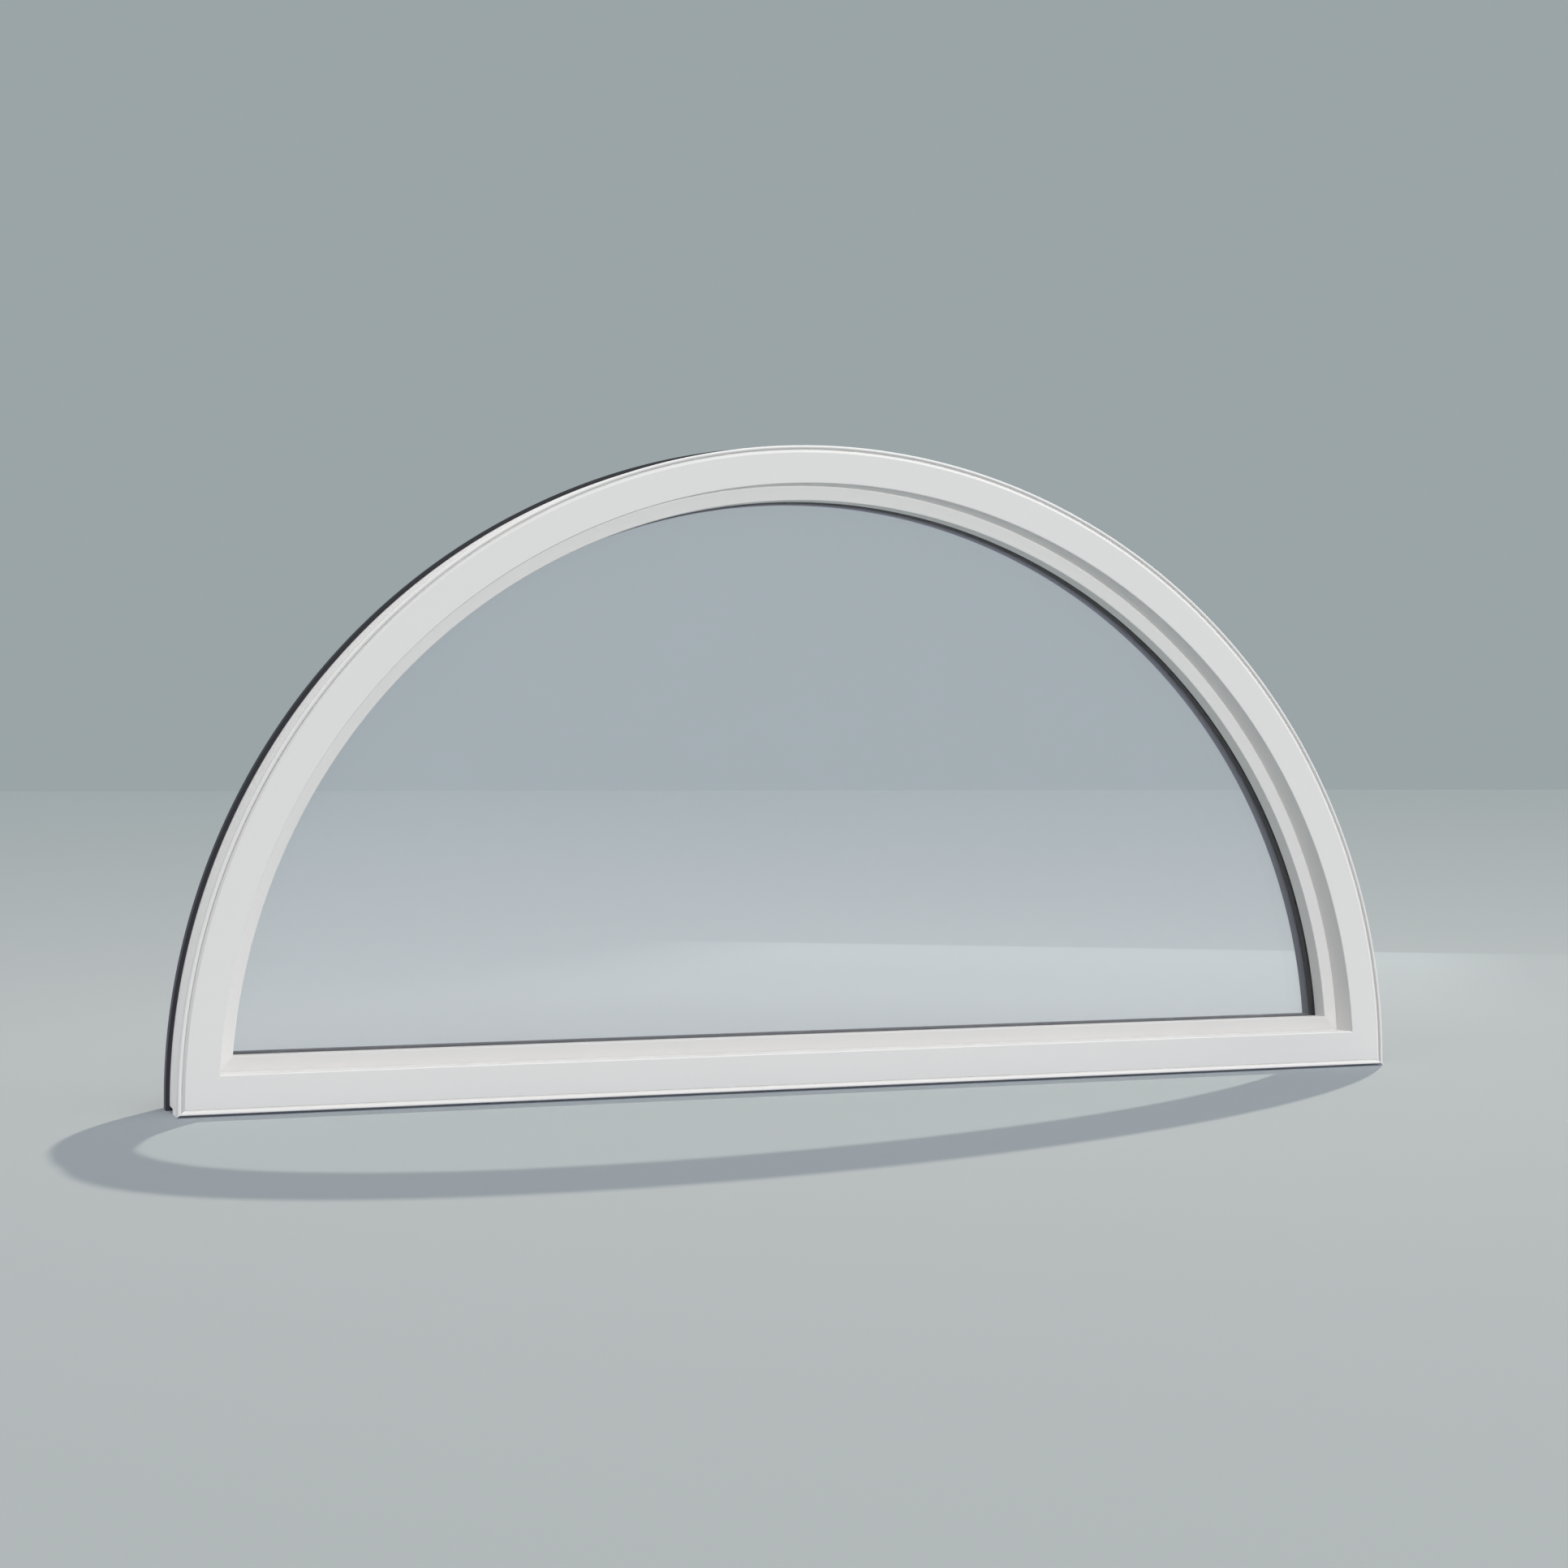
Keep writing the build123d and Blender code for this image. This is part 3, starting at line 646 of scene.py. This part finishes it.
class HALFROUND_OT_stage(bpy.types.Operator):
    """Pale floor, plain backdrop, soft sky, one sun from behind and the camera"""

    bl_idname = "halfround.stage"
    bl_label = "Stage"

    # What glass and satin faces mirror from the room side
    MIRRORED = (0.80, 0.77, 1.06, 1.0)

    def execute(self, context):
        colours = context.scene.halfround_colours
        self.floor(context, colours)
        self.sky(context, colours)
        pieces = [each for each in bpy.data.objects if each.type == "MESH" and each.name != "studio_floor"]
        self.sun("low_sun", 1.42, 1.2, (-0.60, -0.79, -1.0), (1.0, 0.885, 0.715), [bpy.data.objects["studio_floor"]])
        bar = [bpy.data.objects["stop_bar"]]
        for name, strength, lit in (("front_key", 2.44, [each for each in pieces if each not in bar]), ("bar_key", 1.8, bar)):
            key = self.sun(name, strength, 20.0, (-0.469, 0.568, -0.676), (1.0, 1.0, 1.0), lit)
            key.data.use_shadow = False
        # Light that the pale floor throws up under the crown
        bounce = self.sun("floor_bounce", 0.34, 60.0, (0.0, 0.0, 1.0), (1.0, 1.0, 1.0), pieces)
        bounce.data.use_shadow = False
        # Raking light from the upper left, just behind the face's plane, so that it reaches the outer edges alone
        rings = [bpy.data.objects[name] for name in ("jamb_ring", "frame_ring")]
        self.sun("edge_key", 0.75, 1.0, (0.6, -0.02, -0.8), (1.0, 1.0, 1.0), rings)
        self.camera(context)
        context.scene.view_settings.view_transform = "Standard"
        return {"FINISHED"}

    def floor(self, context, colours):
        """A large disc whose colour fades to the backdrop's far away."""
        mesh = bmesh.new()
        bmesh.ops.create_circle(mesh, cap_ends=True, radius=300, segments=96)
        data = bpy.data.meshes.new("studio_floor")
        mesh.to_mesh(data)
        mesh.free()
        floor = bpy.data.objects.new("studio_floor", data)
        floor.location.z = BASE
        context.scene.collection.objects.link(floor)
        material, tree = start_material("matt_studio_floor")
        where = add(tree, "ShaderNodeTexCoord")
        # The colour is half-way to the backdrop's about 5 m from a spot behind the window
        far = add(tree, "ShaderNodeVectorMath", {0: where.outputs["Object"], 1: (0.0, 0.6, 0.0)}, operation="DISTANCE")
        beyond = add(tree, "ShaderNodeMath", {0: far.outputs["Value"], 1: 1.0}, operation="SUBTRACT")
        away = add(tree, "ShaderNodeMath", {0: beyond.outputs["Value"], 1: 0.0}, operation="MAXIMUM")
        reach = add(tree, "ShaderNodeMath", {0: away.outputs["Value"], 1: 4.0})
        fade = add(tree, "ShaderNodeMath", {0: away.outputs["Value"], 1: reach.outputs["Value"]}, operation="DIVIDE")
        cloud = add(tree, "ShaderNodeTexNoise", {"Vector": where.outputs["Object"], "Scale": 0.8, "Detail": 1.0})
        # Painted light: the floor's colour goes from darker on the left to lighter on the right as shading, with soft
        # random clouds over it
        across = add(tree, "ShaderNodeSeparateXYZ", {"Vector": where.outputs["Object"]})
        rise = add(tree, "ShaderNodeMapRange", {"Value": across.outputs["X"], "From Min": -1.2, "From Max": 1.6})
        painted_light_and_clouds = add(tree, "ShaderNodeMath", {0: rise.outputs["Result"], 1: spread(tree, cloud.outputs["Fac"], -0.15, 0.15)}, operation="ADD", use_clamp=True)
        near = add(tree, "ShaderNodeMix", {0: painted_light_and_clouds.outputs["Value"], 6: [c * 0.98 for c in colours.floor[:3]] + [1.0], 7: [c * 1.055 for c in colours.floor[:3]] + [1.0]}, data_type="RGBA")
        colour = add(tree, "ShaderNodeMix", {0: fade.outputs["Value"], 6: near.outputs[2], 7: list(colours.floor_far)}, data_type="RGBA")
        patch = self.bright_patch(tree, where.outputs["Object"])
        lifted = add(tree, "ShaderNodeVectorMath", {0: colour.outputs[2], "Scale": patch}, operation="SCALE")
        shader = add(tree, "ShaderNodeBsdfPrincipled", {"Base Color": lifted.outputs["Vector"], "Roughness": 0.9, "Specular IOR Level": 0.1})
        # Painted reflection: to glossy rays the floor glows with the bright cool colour of the mirrored wall, so the
        # glass mirrors the same cool wall low down as high up
        wall = add(tree, "ShaderNodeEmission", {"Color": self.MIRRORED, "Strength": 1.0})
        ray = add(tree, "ShaderNodeLightPath")
        # A ray that passed through glass counts as glossy too
        mirrored = add(tree, "ShaderNodeMath", {0: ray.outputs["Is Glossy Ray"], 1: ray.outputs["Is Transmission Ray"]}, operation="SUBTRACT", use_clamp=True)
        seen = add(tree, "ShaderNodeMixShader", {0: mirrored.outputs["Value"], 1: shader.outputs["BSDF"], 2: wall.outputs["Emission"]})
        finish_material(tree, seen.outputs["Shader"])
        data.materials.append(material)

    def bright_patch(self, tree, spot):
        """Gain of the floor: a brighter patch behind the window on the right, with one straight edge."""
        across = add(tree, "ShaderNodeVectorMath", {0: spot, 1: (-0.553, -0.833, 0.0)}, operation="DOT_PRODUCT").outputs["Value"]
        along = add(tree, "ShaderNodeVectorMath", {0: spot, 1: (0.833, -0.553, 0.0)}, operation="DOT_PRODUCT").outputs["Value"]
        gain = 0.19
        for place, start, end, low, high in (
                (across, -3.08, -3.03, 0.0, gain), (across, -2.7, -0.9, 1.0, 0.0),
                (along, -1.30, -0.78, 0.0, 1.0), (along, 0.84, 1.10, 1.0, 0.25)):
            step = add(tree, "ShaderNodeMapRange", {"Value": place, "From Min": start, "From Max": end, "To Min": low, "To Max": high}).outputs["Result"]
            if high == gain:
                value = step
            else:
                value = add(tree, "ShaderNodeMath", {0: value, 1: step}, operation="MULTIPLY").outputs["Value"]
        return add(tree, "ShaderNodeMath", {0: value, 1: 1.0}, operation="ADD").outputs["Value"]

    def sky(self, context, colours):
        """Soft light from all round, stronger from the left; camera, gloss and glass see the backdrop."""
        world = bpy.data.worlds.new("studio")
        context.scene.world = world
        world.use_nodes = True
        tree = world.node_tree
        tree.nodes.clear()
        where = add(tree, "ShaderNodeTexCoord")
        axes = add(tree, "ShaderNodeSeparateXYZ", {"Vector": where.outputs["Generated"]})
        side = add(tree, "ShaderNodeMapRange", {"Value": axes.outputs["X"], "From Min": 0.0, "From Max": -1.0, "To Min": 0.54, "To Max": 0.70})
        light = add(tree, "ShaderNodeBackground", {"Color": (0.995, 1.0, 1.01, 1.0), "Strength": side.outputs["Result"]})
        wall = add(tree, "ShaderNodeBackground", {"Color": list(colours.backdrop), "Strength": 1.0})
        # The room side that the glass and satin faces mirror is a bright cool wall
        mirror_wall = add(tree, "ShaderNodeMix", {0: add(tree, "ShaderNodeMapRange", {"Value": axes.outputs["Y"], "From Min": 0.1, "From Max": -0.4}).outputs["Result"], 6: list(colours.backdrop), 7: self.MIRRORED}, data_type="RGBA")
        mirrored = add(tree, "ShaderNodeBackground", {"Color": mirror_wall.outputs[2], "Strength": 1.0})
        ray = add(tree, "ShaderNodeLightPath")
        direct = add(tree, "ShaderNodeMath", {0: ray.outputs["Is Camera Ray"], 1: ray.outputs["Is Transmission Ray"]}, operation="MAXIMUM")
        shiny = add(tree, "ShaderNodeMixShader", {0: ray.outputs["Is Glossy Ray"], 1: light.outputs["Background"], 2: mirrored.outputs["Background"]})
        seen = add(tree, "ShaderNodeMixShader", {0: direct.outputs["Value"], 1: shiny.outputs["Shader"], 2: wall.outputs["Background"]})
        add(tree, "ShaderNodeOutputWorld", {"Surface": seen.outputs["Shader"]})

    def sun(self, name, strength, spread_angle, towards, colour, lit):
        """A distant lamp that lights only some objects, so that the floor keeps one clean shadow."""
        data = bpy.data.lights.new(name, "SUN")
        data.energy = strength
        data.color = colour
        data.angle = math.radians(spread_angle)
        lamp = bpy.data.objects.new(name, data)
        bpy.context.scene.collection.objects.link(lamp)
        lamp.rotation_euler = Vector(towards).to_track_quat("-Z", "Y").to_euler()
        lamp.location = -Vector(towards) * 3
        receivers = bpy.data.collections.new(name + "_receivers")
        for each in lit:
            receivers.objects.link(each)
        lamp.light_linking.receiver_collection = receivers
        return lamp

    def camera(self, context):
        """The photo's view: low, from the left, straight ahead."""
        data = bpy.data.cameras.new("camera")
        data.sensor_width = 36.0
        data.lens = 55.06
        camera = bpy.data.objects.new("camera", data)
        context.scene.collection.objects.link(camera)
        camera.location = (-1.1619, -3.2684, 0.43095)
        turn = Matrix.Rotation(-0.32757, 4, "Z") @ Matrix.Rotation(math.pi / 2 + 0.00124, 4, "X") @ Matrix.Rotation(-0.00116, 4, "Z")
        camera.rotation_euler = turn.to_euler()
        context.scene.camera = camera


PIECES = (
    HALFROUND_OT_jamb,
    HALFROUND_OT_frame,
    HALFROUND_OT_stop,
    HALFROUND_OT_gaskets,
    HALFROUND_OT_glass_unit,
    HALFROUND_OT_cladding,
    HALFROUND_OT_blocks,
    HALFROUND_OT_weeps,
    HALFROUND_OT_stage,
)


class HALFROUND_PT_panel(bpy.types.Panel):
    """Sizes, colours and pieces of the half-round window"""

    bl_label = "Half-round window"
    bl_space_type = "VIEW_3D"
    bl_region_type = "UI"
    bl_category = "Half-round"

    def draw(self, context):
        for group in (context.scene.halfround_sizes, context.scene.halfround_colours):
            box = self.layout.box()
            for name in group.__annotations__:
                box.prop(group, name)
        for piece in PIECES:
            self.layout.operator(piece.bl_idname)


CLASSES = (HALFROUND_PG_sizes, HALFROUND_PG_colours, *PIECES, HALFROUND_PT_panel)


def register():
    for each in CLASSES:
        bpy.utils.register_class(each)
    bpy.types.Scene.halfround_sizes = PointerProperty(type=HALFROUND_PG_sizes)
    bpy.types.Scene.halfround_colours = PointerProperty(type=HALFROUND_PG_colours)


def unregister():
    del bpy.types.Scene.halfround_sizes
    del bpy.types.Scene.halfround_colours
    for each in reversed(CLASSES):
        bpy.utils.unregister_class(each)


def main():
    register()
    bpy.ops.halfround.jamb()
    bpy.ops.halfround.frame()
    bpy.ops.halfround.stop()
    bpy.ops.halfround.gaskets()
    bpy.ops.halfround.glass_unit()
    bpy.ops.halfround.cladding()
    bpy.ops.halfround.blocks()
    bpy.ops.halfround.weeps()
    bpy.ops.halfround.stage()


if __name__ == "__main__":
    main()
